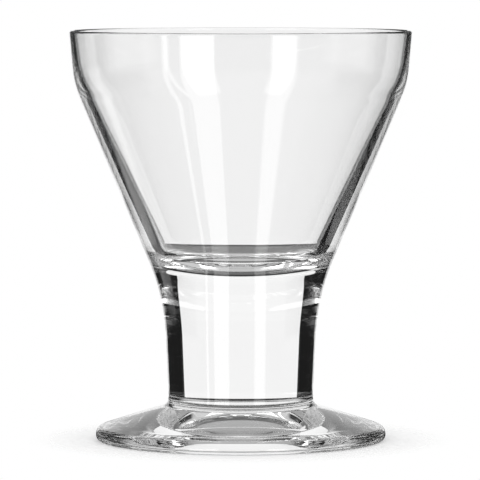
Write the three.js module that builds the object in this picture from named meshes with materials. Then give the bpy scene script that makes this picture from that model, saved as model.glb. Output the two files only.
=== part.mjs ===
// Footed dessert glass: a flared bowl, a solid stem and a round foot, fused to each other while hot.
// Millimetres, +Z up. The origin is on the table, under the middle of the foot.
import * as THREE from "three";

// Heights of the three pieces, from the table up
const footHeight = 12; // table to the weld between foot and stem
const stemLength = 27; // weld to weld
const bowlHeight = 68.5; // weld between stem and bowl to the top of the rim
const weldSeam = 0.02; // line left between two fused faces

// Foot
const footDiameter = 76.2;
const footEdgeThickness = 3.1; // at the rim of the foot, before its edges are rounded
const footCrownHeight = 9.3; // where the top of the foot would meet the stem
const footTopEdgeRadius = 2.2;
const footLowerEdgeRadius = 1.3;
const footFilletRadius = 2; // foot into stem
const hollowDiameter = 60; // shallow hollow under the foot
const hollowDepth = 1.6;

// Stem and the outside of the bowl
const stemFootDiameter = 38.1; // at the weld on the foot
const neckDiameter = 40.4; // where the stem's side would meet the bowl's cone
const neckRise = 25.7; // height of that corner above the weld on the foot
const neckRadius = 58;
const shoulderDiameter = 87.5; // where the cone would meet the upright band
const shoulderRadius = 26;
const bandHeight = 13.7; // height of the upright band, up to the top of the rim
const rimDiameter = 89.7;

// Inside of the bowl
const rimWall = 1.45; // level wall thickness at the rim, which is rounded over
const shoulderWall = 1.05; // level wall thickness at the corner between the cone and the band
const innerShoulderDrop = 10.55; // from the top of the rim down to that corner
const innerShoulderRadius = 30;
const basinDiameter = 40.6; // where the inside of the cone would meet the dished floor
const basinRadius = 5.4;
const dishDepth = 4.05; // from that corner down to the middle of the floor
const dishDiameter = 18; // where the slope of the dish would meet its level middle
const dishRadius = 48;
const baseThickness = 6.45; // weld on the stem to the middle of the floor

// Fineness of the facets
const turnSegments = 64;
const arcStep = THREE.MathUtils.degToRad(9);
const rimStep = THREE.MathUtils.degToRad(30);
const hollowSteps = 6;
const fullRun = 0.95; // share of a straight run that the fillets at its ends may take

// Levels and radii that the pieces share
const footTop = footHeight;
const stemTop = footTop + stemLength;
const rimTop = stemTop + bowlHeight;
const floorLevel = stemTop + baseThickness;
const shoulderLevel = rimTop - bandHeight;
const innerShoulderDiameter = shoulderDiameter - 2 * shoulderWall;
const neckLevel = footTop + neckRise;
const stemFootRadius = stemFootDiameter / 2;
const rimRadius = rimWall / 2;
const rimCentre = new THREE.Vector2(rimDiameter / 2 - rimRadius, rimTop - rimRadius);

const glass = new THREE.MeshStandardMaterial({
  color: 0xf1f4f3,
  roughness: 0.04,
  metalness: 0,
  transparent: true,
  opacity: 0.35,
});

// A corner of an outline: its distance from the axis, its height and the fillet that rounds it.
function corner(radius, height, fillet = 0) {
  return { at: new THREE.Vector2(radius, height), fillet };
}

// The points of an arc about a centre, from one angle through a sweep, in steps of about the given angle.
function arcPoints(centre, radius, from, sweep, step = arcStep) {
  const count = Math.max(2, Math.ceil(Math.abs(sweep) / step));
  return Array.from({ length: count + 1 }, (_, i) => {
    const angle = from + (sweep * i) / count;
    return new THREE.Vector2(Math.cos(angle), Math.sin(angle)).multiplyScalar(radius).add(centre);
  });
}

// The outline through the corners, with each fillet drawn as an arc. Where the fillets at the ends of a run
// would meet, they are made smaller.
function roundedOutline(corners) {
  const turns = corners.map(({ at, fillet }, i) => {
    if (!fillet) return { reach: 0 };
    const back = corners[i - 1].at.clone().sub(at);
    const ahead = corners[i + 1].at.clone().sub(at);
    const halfTurn = (Math.PI - back.angleTo(ahead)) / 2;
    return { back, ahead, halfTurn, reach: fillet * Math.tan(halfTurn) };
  });
  return turns.flatMap(({ back, ahead, halfTurn, reach }, i) => {
    const { at, fillet } = corners[i];
    if (!fillet) return [at.clone()];
    const room = Math.min(
      1,
      (fullRun * back.length()) / (reach + turns[i - 1].reach),
      (fullRun * ahead.length()) / (reach + turns[i + 1].reach),
    );
    const side = Math.sign(ahead.cross(back)); // 1 where the outline turns left
    const start = at.clone().addScaledVector(back.normalize(), reach * room);
    const inward = new THREE.Vector2(back.y, -back.x).multiplyScalar(side);
    const centre = start.clone().addScaledVector(inward, fillet * room);
    const from = start.clone().sub(centre).angle();
    return arcPoints(centre, fillet * room, from, side * 2 * halfTurn);
  });
}

// The stretch of a rising outline between two levels, with its ends cut level.
function between(outline, low, high) {
  const cut = (level) => {
    const above = outline.findIndex((p) => p.y > level);
    const [a, b] = [outline[above - 1], outline[above]];
    return a.clone().lerp(b, (level - a.y) / (b.y - a.y));
  };
  const inside = outline.filter((p) => p.y > low && p.y < high);
  return [cut(low), ...inside, cut(high)];
}

// A closed body turned from its outline about +Z.
function turned(name, outline) {
  const geometry = new THREE.LatheGeometry(outline, turnSegments).rotateX(Math.PI / 2);
  const mesh = new THREE.Mesh(geometry, glass);
  mesh.name = name;
  return mesh;
}

const onAxis = (height) => new THREE.Vector2(0, height);

// Side of the glass from under the foot weld to the rim: stem, neck, cone, shoulder and band.
const side = roundedOutline([
  corner(stemFootRadius, 0),
  corner(stemFootRadius, footTop),
  corner(neckDiameter / 2, neckLevel, neckRadius),
  corner(shoulderDiameter / 2, shoulderLevel, shoulderRadius),
  corner(rimDiameter / 2, rimCentre.y),
  corner(rimDiameter / 2, rimTop),
]);

function makeFoot() {
  const edge = footDiameter / 2;
  const hollow = hollowDiameter / 2;
  const hollowRadius = (hollow ** 2 + hollowDepth ** 2) / (2 * hollowDepth);
  const halfAngle = Math.asin(hollow / hollowRadius);
  const step = halfAngle / hollowSteps;
  const hollowCentre = onAxis(hollowDepth - hollowRadius);
  return turned("foot", [
    ...arcPoints(hollowCentre, hollowRadius, Math.PI / 2, -halfAngle, step),
    ...roundedOutline([
      corner(hollow, 0),
      corner(edge, 0, footLowerEdgeRadius),
      corner(edge, footEdgeThickness, footTopEdgeRadius),
      corner(stemFootRadius, footCrownHeight, footFilletRadius),
      corner(stemFootRadius, footTop),
    ]).slice(1),
    onAxis(footTop),
  ]);
}

function makeStem() {
  const [low, high] = [footTop + weldSeam, stemTop - weldSeam];
  return turned("stem", [onAxis(low), ...between(side, low, high), onAxis(high)]);
}

function makeBowl() {
  const outside = between(side, stemTop, rimCentre.y);
  const rim = arcPoints(rimCentre, rimRadius, 0, Math.PI, rimStep);
  const inside = roundedOutline([
    corner(rimCentre.x - rimRadius, rimCentre.y),
    corner(innerShoulderDiameter / 2, rimTop - innerShoulderDrop, innerShoulderRadius),
    corner(basinDiameter / 2, floorLevel + dishDepth, basinRadius),
    corner(dishDiameter / 2, floorLevel, dishRadius),
    corner(0, floorLevel),
  ]);
  return turned("bowl", [onAxis(stemTop), ...outside.slice(0, -1), ...rim, ...inside.slice(1)]);
}

const dessertGlass = new THREE.Group();
dessertGlass.add(makeFoot(), makeStem(), makeBowl());

export default dessertGlass;
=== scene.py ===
import math

import bpy
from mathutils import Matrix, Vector


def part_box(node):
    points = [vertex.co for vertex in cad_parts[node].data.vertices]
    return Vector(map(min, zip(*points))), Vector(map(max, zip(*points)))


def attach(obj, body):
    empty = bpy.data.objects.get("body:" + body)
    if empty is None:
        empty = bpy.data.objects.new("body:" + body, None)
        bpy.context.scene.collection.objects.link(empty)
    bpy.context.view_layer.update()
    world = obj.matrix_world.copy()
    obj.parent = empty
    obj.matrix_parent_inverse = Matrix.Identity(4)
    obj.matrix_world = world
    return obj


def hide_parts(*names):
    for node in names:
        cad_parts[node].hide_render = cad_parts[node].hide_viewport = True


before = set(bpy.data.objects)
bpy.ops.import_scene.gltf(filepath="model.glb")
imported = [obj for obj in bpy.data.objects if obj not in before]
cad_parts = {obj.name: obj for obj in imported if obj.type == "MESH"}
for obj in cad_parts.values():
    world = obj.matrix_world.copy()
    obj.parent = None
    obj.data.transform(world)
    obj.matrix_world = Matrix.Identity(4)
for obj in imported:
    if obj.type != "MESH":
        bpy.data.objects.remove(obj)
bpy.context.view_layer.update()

bl_info = {
    "name": "Dessert glass",
    "version": (1, 0, 0),
    "blender": (4, 5, 0),
    "location": "3D View > Sidebar > Glass",
    "description": "Turns a clear footed dessert glass and sets it on a bright stage",
    "category": "Add Mesh",
}

MM = 0.001
TURN_STEPS = 256
ARC_STEP = math.radians(4)
SMOOTH_ANGLE = math.radians(35)
TINY = 1e-6
SAME_PLACE = 1e-7
LEVEL = 0.99

HOLLOW_STRIDE = 1.5 * MM
FOOT_STRIDE = 0.5 * MM
NECK_STRIDE = 0.6 * MM
SIDE_STRIDE = 1.0 * MM
RIM_STRIDE = 0.15 * MM
ONE_STRIDE = 1.0

GLASS_IOR = 1.52
BOUNCES = 128
CLEAR_BOUNCES = 32
SENSOR_WIDTH = 36.0
CLIP_START = 0.01
CARD_LIGHT = 0.96
DARK_ROOM = 0.012
FLOOR_LIGHT = 1.12
FLOOR_COLOUR = (0.9, 0.9, 0.9, 1)
FLOOR_STEPS = 128
FLOOR_RADIUS = 60.0 * MM
FLOOR_EDGE = 47.0 * MM
FLOOR_FADE = 10.0 * MM

# Pale zones of the dark room: edges and their softness in degrees, then the light
CEILING_LIFT = (40.0, 5.0)
CEILING_LIGHT = 0.42
WINDOWS_ASIDE = (77.0, 118.0, 4.0)
WINDOWS_LIFT = (-10.0, 4.0, 2.0)
WINDOWS_LIGHT = 0.85
CORNER_AROUND = (42.0, 64.0, 3.0)
CORNER_LIFT = (-40.0, -14.0, 4.0)
CORNER_LIGHT = 0.85
GROUND_ASIDE = (38.0, 4.0)
GROUND_NEAR = (-58.0, 4.0)
GROUND_LIFT = (-34.0, 5.0)
GROUND_LIGHT = 0.5
GROUND_DIM = 0.2
TABLE_ASIDE = (108.0, 4.0)
TABLE_LIFT = (-9.0, 3.0)
TABLE_LIGHT = 0.6
STRIPS_AROUND = ((138.0, 162.0, 1.5), (125.0, 129.0, 1.5), (-159.0, -141.0, 3.0))
STRIPS_LIFT = (-54.0, -3.0, 3.0)
STRIPS_LIGHT = 2.8

FOOT_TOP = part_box("foot")[1][2]
BOWL_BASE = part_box("bowl")[0][2]
RIM_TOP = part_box("bowl")[1][2]


def length(name, description, millimetres):
    """A size in millimetres, shown in scene units."""
    return bpy.props.FloatProperty(
        name=name, description=description, default=millimetres * MM, unit="LENGTH", precision=5
    )


class GlassSizes(bpy.types.PropertyGroup):
    """Outline of the glass, as turned about its axis."""

    foot_top: length("Foot weld", "Height of the weld between foot and stem", FOOT_TOP / MM)
    stem_top: length("Bowl weld", "Height of the weld between stem and bowl", BOWL_BASE / MM)
    rim_top: length("Rim", "Height of the top of the rim", RIM_TOP / MM)

    foot_diameter: length("Foot diameter", "Widest part of the foot", 76.2)
    foot_edge: length("Foot edge", "Thickness of the foot at its edge, before rounding", 3.1)
    foot_crown: length("Foot crown", "Height at which the foot would meet the stem", 9.3)
    foot_top_round: length("Foot top edge", "Radius of the foot's upper edge", 2.2)
    foot_lower_round: length("Foot lower edge", "Radius of the foot's lower edge", 1.3)
    foot_fillet: length("Foot fillet", "Radius between the foot and the stem", 2.0)
    hollow_diameter: length("Hollow diameter", "Width of the hollow under the foot", 60.0)
    hollow_depth: length("Hollow depth", "Depth of the hollow under the foot", 1.6)

    stem_diameter: length("Stem diameter", "Stem at the weld on the foot", 38.1)
    neck_diameter: length("Neck diameter", "Where the stem would meet the cone", 40.4)
    neck_height: length("Neck height", "Height of that corner", 37.7)
    neck_round: length("Neck radius", "Radius from stem to cone", 58.0)
    shoulder_diameter: length("Shoulder diameter", "Where the cone would meet the band", 87.5)
    shoulder_round: length("Shoulder radius", "Radius from cone to band, outside", 26.0)
    band_height: length("Band height", "Height of the upright band", 13.7)
    rim_diameter: length("Rim diameter", "Over the rim", 89.7)

    rim_wall: length("Rim wall", "Wall at the rim, which is rounded over", 1.2)
    inner_diameter: length(
        "Inner shoulder diameter", "Where the inside of the cone would meet the band", 84.6
    )
    inner_drop: length("Inner shoulder drop", "From the top of the rim down to that corner", 12.5)
    base_thickness: length("Base thickness", "Weld on the stem to the bowl's floor", 6.45)
    inner_shoulder_round: length("Inner shoulder", "Radius from cone to band, inside", 22.0)
    basin_diameter: length("Basin diameter", "Where the cone turns into the bottom, inside", 40.0)
    basin_rise: length("Basin rise", "Height of that corner above the bowl's floor", 4.05)
    basin_round: length("Basin radius", "Radius of that corner", 5.4)
    floor_diameter: length("Floor diameter", "Where the bottom would meet the flat floor", 18.0)
    floor_round: length("Floor corner", "Radius between the bottom and the flat floor", 48.0)


class StageSettings(bpy.types.PropertyGroup):
    """Camera and light around the glass."""

    distance: length("Camera distance", "From the axis, along the table", 1139.0)
    aside: length("Camera aside", "From the axis, to the right", -0.2)
    height: length("Camera height", "Above the table", 128.0)
    aim: length("Aim", "Height on the axis that the camera looks at", 52.5)
    lens: bpy.props.FloatProperty(
        name="Lens", description="Focal length in millimetres", default=326.0, unit="CAMERA"
    )
    card_away: length("Card distance", "From the axis to the white card behind the glass", 105.0)
    card_width: length("Card width", "Width of the white card", 135.0)
    card_height: length("Card height", "Height of the white card", 120.0)
    card_top: length("Card top", "Top edge of the white card above the table", 120.0)


class Value:
    """A node's output that reads as a number in Python expressions."""

    def __init__(self, graph, socket):
        self.graph = graph
        self.socket = socket

    def maths(self, operation, *others):
        values = dict(enumerate((self, *others)))
        return self.graph.node("ShaderNodeMath", {"operation": operation}, values)[0]

    def __add__(self, other):
        return self.maths("ADD", other)

    __radd__ = __add__

    def __mul__(self, other):
        return self.maths("MULTIPLY", other)

    __rmul__ = __mul__

    def __sub__(self, other):
        return self.maths("SUBTRACT", other)

    def __rsub__(self, other):
        return (self * -1.0) + other

    def __abs__(self):
        return self.maths("ABSOLUTE")

    def between(self, low, high, soft):
        """1 between two edges and 0 outside them, with soft edges."""
        return self.step(low, soft) * (1.0 - self.step(high, soft))

    def step(self, edge, soft):
        """0 below an edge and 1 above it."""
        limits = {"Value": self, "From Min": edge - soft, "From Max": edge + soft}
        return self.graph.node("ShaderNodeMapRange", {"interpolation_type": "SMOOTHSTEP"}, limits)[0]


class Graph:
    """A node tree that is being written."""

    def __init__(self, owner):
        owner.use_nodes = True
        self.tree = owner.node_tree
        self.tree.nodes.clear()

    def node(self, kind, settings=None, values=None):
        """Adds a node, makes its settings, then fills its sockets, and returns its outputs."""
        made = self.tree.nodes.new(kind)
        for name, setting in (settings or {}).items():
            setattr(made, name, setting)
        for name, value in (values or {}).items():
            if isinstance(value, Value):
                self.tree.links.new(value.socket, made.inputs[name])
            else:
                made.inputs[name].default_value = value
        return {
            key: Value(self, out)
            for i, out in enumerate(made.outputs)
            for key in (i, out.name)
        }


def pressed_glass():
    """Colourless glass with a faint ripple, light smears and a scuffed ring where it stands."""
    material = bpy.data.materials.new("pressed_glass")
    graph = Graph(material)
    place = graph.node("ShaderNodeTexCoord")["Object"]
    height = graph.node("ShaderNodeSeparateXYZ", None, {0: place})["Z"]

    def noise(scale, detail):
        values = {"Vector": place, "Scale": scale, "Detail": detail}
        return graph.node("ShaderNodeTexNoise", None, values)["Fac"]

    ripple = graph.node(
        "ShaderNodeBump", None, {"Strength": 0.1, "Distance": 0.12 * MM, "Height": noise(70.0, 1.0)}
    )
    smear = noise(45.0, 3.0).step(0.6, 0.15) * 0.006
    scuff = (1.0 - height.step(0.05 * MM, 0.04 * MM)) * noise(900.0, 2.0).step(0.55, 0.15) * 0.05
    shader = graph.node(
        "ShaderNodeBsdfPrincipled",
        None,
        {
            "Base Color": (1, 1, 1, 1),
            "Roughness": smear + scuff,
            "IOR": GLASS_IOR,
            "Transmission Weight": 1.0,
            "Normal": ripple["Normal"],
        },
    )
    graph.node("ShaderNodeOutputMaterial", None, {"Surface": shader["BSDF"]})
    return material


def fused_glass():
    """The inside of a weld, where glass meets glass and nothing shows."""
    material = bpy.data.materials.new("fused_glass")
    graph = Graph(material)
    shader = graph.node("ShaderNodeBsdfPrincipled", None, {"Base Color": (1, 1, 1, 1), "Alpha": 0.0})
    graph.node("ShaderNodeOutputMaterial", None, {"Surface": shader["BSDF"]})
    return material


class Outline:
    """Half of a section, drawn in edit mode in the XZ plane from run to run."""

    def __init__(self, radius, height):
        bpy.ops.object.select_all(action="DESELECT")
        bpy.ops.mesh.primitive_plane_add(size=MM, location=(radius, 0, height))
        bpy.ops.object.mode_set(mode="EDIT")
        bpy.ops.mesh.merge(type="CENTER")
        self.at = Vector((radius, height))

    def run(self, to, stride):
        """A straight run, in strides of about the given length."""
        way = to - self.at
        if way.length < SAME_PLACE:
            return
        count = max(1, math.ceil(way.length / stride))
        for _ in range(count):
            bpy.ops.mesh.extrude_vertices_move(
                TRANSFORM_OT_translate={"value": (way.x / count, 0, way.y / count)}
            )
        self.at = to

    def arc(self, centre, sweep, stride):
        """An arc about a centre, anticlockwise where the sweep is positive."""
        arm = self.at - centre
        by_length = math.ceil(abs(sweep) * arm.length / stride)
        by_angle = math.ceil(abs(sweep) / ARC_STEP)
        bpy.ops.mesh.spin(
            steps=max(3, by_length, by_angle),
            angle=sweep,
            center=(centre.x, 0, centre.y),
            axis=(0, 1, 0),
        )
        cos, sin = math.cos(sweep), math.sin(sweep)
        self.at = centre + Vector((arm.x * cos - arm.y * sin, arm.x * sin + arm.y * cos))

    def trace(self, corners, stride):
        """Straight runs through (radius, height, fillet) corners, each rounded by its fillet."""
        places = [self.at] + [Vector(c[:2]) for c in corners]
        for i, (_, _, fillet) in enumerate(corners, start=1):
            here = places[i]
            if not fillet:
                self.run(here, stride)
                continue
            back = (places[i - 1] - here).normalized()
            ahead = (places[i + 1] - here).normalized()
            half_turn = (math.pi - back.angle(ahead)) / 2
            side = 1 if ahead.x * back.y - ahead.y * back.x > 0 else -1
            self.run(here + back * fillet * math.tan(half_turn), stride)
            centre = self.at + Vector((back.y, -back.x)) * fillet * side
            self.arc(centre, side * 2 * half_turn, stride)

    def turn(self, name, welds, materials):
        """Spins the outline into a closed piece and gives its weld faces their own material."""
        bpy.ops.mesh.select_all(action="SELECT")
        bpy.ops.mesh.spin(steps=TURN_STEPS, angle=math.tau, center=(0, 0, 0), axis=(0, 0, 1))
        bpy.ops.mesh.select_all(action="SELECT")
        bpy.ops.mesh.remove_doubles(threshold=TINY)
        bpy.ops.mesh.normals_make_consistent(inside=False)
        bpy.ops.mesh.select_all(action="DESELECT")
        bpy.ops.object.mode_set(mode="OBJECT")
        piece = bpy.context.object
        piece.name = piece.data.name = name
        bpy.ops.object.transform_apply(location=True, rotation=True, scale=True)
        for material in materials:
            piece.data.materials.append(material)
        for face in piece.data.polygons:
            is_level = abs(face.normal.z) > LEVEL
            if is_level and any(abs(face.center.z - weld) < TINY for weld in welds):
                face.material_index = 1
        bpy.ops.object.shade_smooth_by_angle(angle=SMOOTH_ANGLE)
        return piece


def side_corners(sizes):
    """Corners of the glass's side, from the foot's weld to the rim."""
    return [
        (sizes.stem_diameter / 2, sizes.foot_top, 0),
        (sizes.neck_diameter / 2, sizes.neck_height, sizes.neck_round),
        (sizes.shoulder_diameter / 2, sizes.rim_top - sizes.band_height, sizes.shoulder_round),
    ]


def neck_circle(sizes):
    """Centre of the neck's round, and half the angle that it turns through."""
    low, corner, high = (Vector(c[:2]) for c in side_corners(sizes))
    back = (low - corner).normalized()
    ahead = (high - corner).normalized()
    half_turn = (math.pi - back.angle(ahead)) / 2
    centre = corner + (back + ahead).normalized() * sizes.neck_round / math.cos(half_turn)
    return centre, half_turn


def finish_piece(piece, node):
    """Fixes a piece to the glass in place of a solid."""
    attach(piece, "root")
    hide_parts(node)


class GLASS_OT_foot(bpy.types.Operator):
    """Turn the round foot, with its hollow underside"""

    bl_idname = "glass.foot"
    bl_label = "Foot"

    def execute(self, context):
        sizes = context.scene.glass_sizes
        edge = sizes.foot_diameter / 2
        hollow = sizes.hollow_diameter / 2
        depth = sizes.hollow_depth
        stem = sizes.stem_diameter / 2
        radius = (hollow**2 + depth**2) / (2 * depth)
        outline = Outline(0, depth)
        outline.arc(Vector((0, depth - radius)), -math.asin(hollow / radius), HOLLOW_STRIDE)
        outline.trace(
            [
                (edge, 0, sizes.foot_lower_round),
                (edge, sizes.foot_edge, sizes.foot_top_round),
                (stem, sizes.foot_crown, sizes.foot_fillet),
                (stem, sizes.foot_top, 0),
            ],
            FOOT_STRIDE,
        )
        outline.run(Vector((0, sizes.foot_top)), ONE_STRIDE)
        piece = outline.turn("glass_foot", [sizes.foot_top], GLASS)
        finish_piece(piece, "foot")
        return {"FINISHED"}


class GLASS_OT_stem(bpy.types.Operator):
    """Turn the solid stem up to the bowl's weld"""

    bl_idname = "glass.stem"
    bl_label = "Stem"

    def execute(self, context):
        sizes = context.scene.glass_sizes
        centre, half_turn = neck_circle(sizes)
        low, corner, _ = side_corners(sizes)
        start = Vector(low[:2])
        reach = sizes.neck_round * math.tan(half_turn)
        tangent = Vector(corner[:2]) + (start - Vector(corner[:2])).normalized() * reach
        outline = Outline(0, sizes.foot_top)
        outline.run(start, ONE_STRIDE)
        outline.run(tangent, SIDE_STRIDE)
        arm = tangent - centre
        rise = (sizes.stem_top - centre.y) / sizes.neck_round
        sweep = (math.pi - math.asin(rise)) - (math.atan2(arm.y, arm.x) % math.tau)
        outline.arc(centre, sweep, NECK_STRIDE)
        outline.run(Vector((0, sizes.stem_top)), ONE_STRIDE)
        piece = outline.turn("glass_stem", [sizes.foot_top, sizes.stem_top], GLASS)
        finish_piece(piece, "stem")
        return {"FINISHED"}


class GLASS_OT_bowl(bpy.types.Operator):
    """Turn the flared bowl, with its rounded rim and its thick base"""

    bl_idname = "glass.bowl"
    bl_label = "Bowl"

    def execute(self, context):
        sizes = context.scene.glass_sizes
        centre, half_turn = neck_circle(sizes)
        _, corner, shoulder = (Vector(c[:2]) for c in side_corners(sizes))
        reach = sizes.neck_round * math.tan(half_turn)
        tangent = corner + (shoulder - corner).normalized() * reach
        rise = (sizes.stem_top - centre.y) / sizes.neck_round
        start = math.pi - math.asin(rise)
        weld = centre + sizes.neck_round * Vector((math.cos(start), math.sin(start)))
        arm = tangent - centre

        rim = sizes.rim_wall / 2
        rim_centre = Vector((sizes.rim_diameter / 2 - rim, sizes.rim_top - rim))
        inner_shoulder = sizes.rim_top - sizes.inner_drop
        floor = sizes.stem_top + sizes.base_thickness

        outline = Outline(0, sizes.stem_top)
        outline.run(weld, ONE_STRIDE)
        outline.arc(centre, math.atan2(arm.y, arm.x) % math.tau - start, NECK_STRIDE)
        outline.trace(
            [
                (shoulder.x, shoulder.y, sizes.shoulder_round),
                (sizes.rim_diameter / 2, rim_centre.y, 0),
            ],
            SIDE_STRIDE,
        )
        outline.arc(rim_centre, math.pi, RIM_STRIDE)
        outline.trace(
            [
                (sizes.inner_diameter / 2, inner_shoulder, sizes.inner_shoulder_round),
                (sizes.basin_diameter / 2, floor + sizes.basin_rise, sizes.basin_round),
                (sizes.floor_diameter / 2, floor, sizes.floor_round),
                (0, floor, 0),
            ],
            SIDE_STRIDE,
        )
        piece = outline.turn("glass_bowl", [sizes.stem_top], GLASS)
        finish_piece(piece, "bowl")
        return {"FINISHED"}


class GLASS_OT_stage(bpy.types.Operator):
    """Set the camera, the pale floor and the studio light"""

    bl_idname = "glass.stage"
    bl_label = "Stage"

    def execute(self, context):
        stage = context.scene.glass_stage
        scene = context.scene
        scene.view_settings.view_transform = "Standard"
        scene.cycles.max_bounces = BOUNCES
        scene.cycles.glossy_bounces = BOUNCES
        scene.cycles.transmission_bounces = BOUNCES
        scene.cycles.transparent_max_bounces = CLEAR_BOUNCES
        self.camera(scene, stage)
        self.room(scene)
        self.card(stage)
        self.floor()
        return {"FINISHED"}

    def camera(self, scene, stage):
        """A long lens in front of the glass, looking a little down."""
        bpy.ops.object.select_all(action="DESELECT")
        pitch = math.atan2(stage.height - stage.aim, stage.distance)
        bpy.ops.object.camera_add(
            location=(stage.aside, -stage.distance, stage.height),
            rotation=(math.pi / 2 - pitch, 0, 0),
        )
        scene.camera = bpy.context.object
        scene.camera.data.lens = stage.lens
        scene.camera.data.sensor_width = SENSOR_WIDTH
        scene.camera.data.clip_start = CLIP_START

    def room(self, scene):
        """White all round for the camera; for the glass, a dark room with pale zones.

        Angles are in degrees: around is 0 behind the glass and grows to the left, lift grows upward.
        """
        world = bpy.data.worlds.new("studio")
        scene.world = world
        world.cycles.sampling_method = "NONE"
        graph = Graph(world)
        direction = graph.node("ShaderNodeTexCoord")["Generated"]
        x, y, z = (graph.node("ShaderNodeSeparateXYZ", None, {0: direction})[i] for i in range(3))
        around = (x * -1.0).maths("ARCTAN2", y) * math.degrees(1)
        lift = z.maths("ARCSINE") * math.degrees(1)
        aside = abs(around)
        ceiling = lift.step(*CEILING_LIFT) * CEILING_LIGHT
        windows = aside.between(*WINDOWS_ASIDE) * lift.between(*WINDOWS_LIFT) * WINDOWS_LIGHT
        corner = around.between(*CORNER_AROUND) * lift.between(*CORNER_LIFT) * CORNER_LIGHT
        ground = aside.step(*GROUND_ASIDE).maths("MAXIMUM", 1.0 - lift.step(*GROUND_NEAR))
        ground = ground * (1.0 - GROUND_DIM) + GROUND_DIM
        ground = ground * (1.0 - lift.step(*GROUND_LIFT)) * GROUND_LIGHT
        table = aside.step(*TABLE_ASIDE) * (1.0 - lift.step(*TABLE_LIFT)) * TABLE_LIGHT
        strips = sum(around.between(*strip) for strip in STRIPS_AROUND)
        strips = strips * lift.between(*STRIPS_LIFT) * STRIPS_LIGHT
        white = ceiling + windows + corner
        for zone in (ground, table, strips):
            white = white.maths("MAXIMUM", zone)
        white = white + DARK_ROOM
        rays = graph.node("ShaderNodeLightPath")
        seen = rays["Is Glossy Ray"].maths("MAXIMUM", rays["Is Transmission Ray"])
        lit = rays["Diffuse Depth"].maths("MINIMUM", 1.0)
        level = rays["Is Camera Ray"] + (1.0 - lit) * seen * white + lit * FLOOR_LIGHT
        back = graph.node("ShaderNodeBackground", None, {"Color": (1, 1, 1, 1), "Strength": level})
        graph.node("ShaderNodeOutputWorld", None, {"Surface": back["Background"]})

    def card(self, stage):
        """A white card behind the glass, as wide as the picture, that only the glass sees."""
        bpy.ops.object.select_all(action="DESELECT")
        middle = (0, stage.card_away, stage.card_top - stage.card_height / 2)
        bpy.ops.mesh.primitive_plane_add(size=1.0, location=middle)
        bpy.ops.transform.rotate(value=math.pi / 2, orient_axis="X", center_override=middle)
        card = bpy.context.object
        card.name = card.data.name = "card"
        card.scale = (stage.card_width, stage.card_height, 1)
        bpy.ops.object.transform_apply(location=False, rotation=True, scale=True)
        material = bpy.data.materials.new("white_card")
        graph = Graph(material)
        values = {"Color": (1, 1, 1, 1), "Strength": CARD_LIGHT}
        light = graph.node("ShaderNodeEmission", None, values)["Emission"]
        graph.node("ShaderNodeOutputMaterial", None, {"Surface": light})
        card.data.materials.append(material)
        card.visible_camera = card.visible_diffuse = card.visible_shadow = False

    def floor(self):
        """A small pale disc that takes the shadow and fades into the white around it."""
        bpy.ops.object.select_all(action="DESELECT")
        bpy.ops.mesh.primitive_circle_add(vertices=FLOOR_STEPS, radius=FLOOR_RADIUS, fill_type="NGON")
        floor = bpy.context.object
        floor.name = floor.data.name = "floor"
        material = bpy.data.materials.new("pale_floor")
        graph = Graph(material)
        place = graph.node("ShaderNodeTexCoord")["Object"]
        out = graph.node("ShaderNodeVectorMath", {"operation": "LENGTH"}, {0: place})["Value"]
        fade = out.step(FLOOR_EDGE, FLOOR_FADE)
        plain = graph.node("ShaderNodeBsdfDiffuse", None, {"Color": FLOOR_COLOUR})["BSDF"]
        clear = graph.node("ShaderNodeBsdfTransparent")["BSDF"]
        mix = graph.node("ShaderNodeMixShader", None, {0: fade, 1: plain, 2: clear})["Shader"]
        graph.node("ShaderNodeOutputMaterial", None, {"Surface": mix})
        floor.data.materials.append(material)
        floor.visible_transmission = floor.visible_glossy = False


class GLASS_PT_panel(bpy.types.Panel):
    """Buttons that make the glass and its stage"""

    bl_label = "Dessert glass"
    bl_idname = "GLASS_PT_panel"
    bl_space_type = "VIEW_3D"
    bl_region_type = "UI"
    bl_category = "Glass"

    def draw(self, context):
        for operator in OPERATORS:
            self.layout.operator(operator.bl_idname)


OPERATORS = (GLASS_OT_foot, GLASS_OT_stem, GLASS_OT_bowl, GLASS_OT_stage)
CLASSES = (GlassSizes, StageSettings, *OPERATORS, GLASS_PT_panel)
GLASS = []


def register():
    for cls in CLASSES:
        bpy.utils.register_class(cls)
    bpy.types.Scene.glass_sizes = bpy.props.PointerProperty(type=GlassSizes)
    bpy.types.Scene.glass_stage = bpy.props.PointerProperty(type=StageSettings)


def unregister():
    del bpy.types.Scene.glass_stage
    del bpy.types.Scene.glass_sizes
    for cls in reversed(CLASSES):
        bpy.utils.unregister_class(cls)


def main():
    register()
    GLASS[:] = [pressed_glass(), fused_glass()]
    bpy.ops.glass.foot()
    bpy.ops.glass.stem()
    bpy.ops.glass.bowl()
    bpy.ops.glass.stage()


if __name__ == "__main__":
    main()
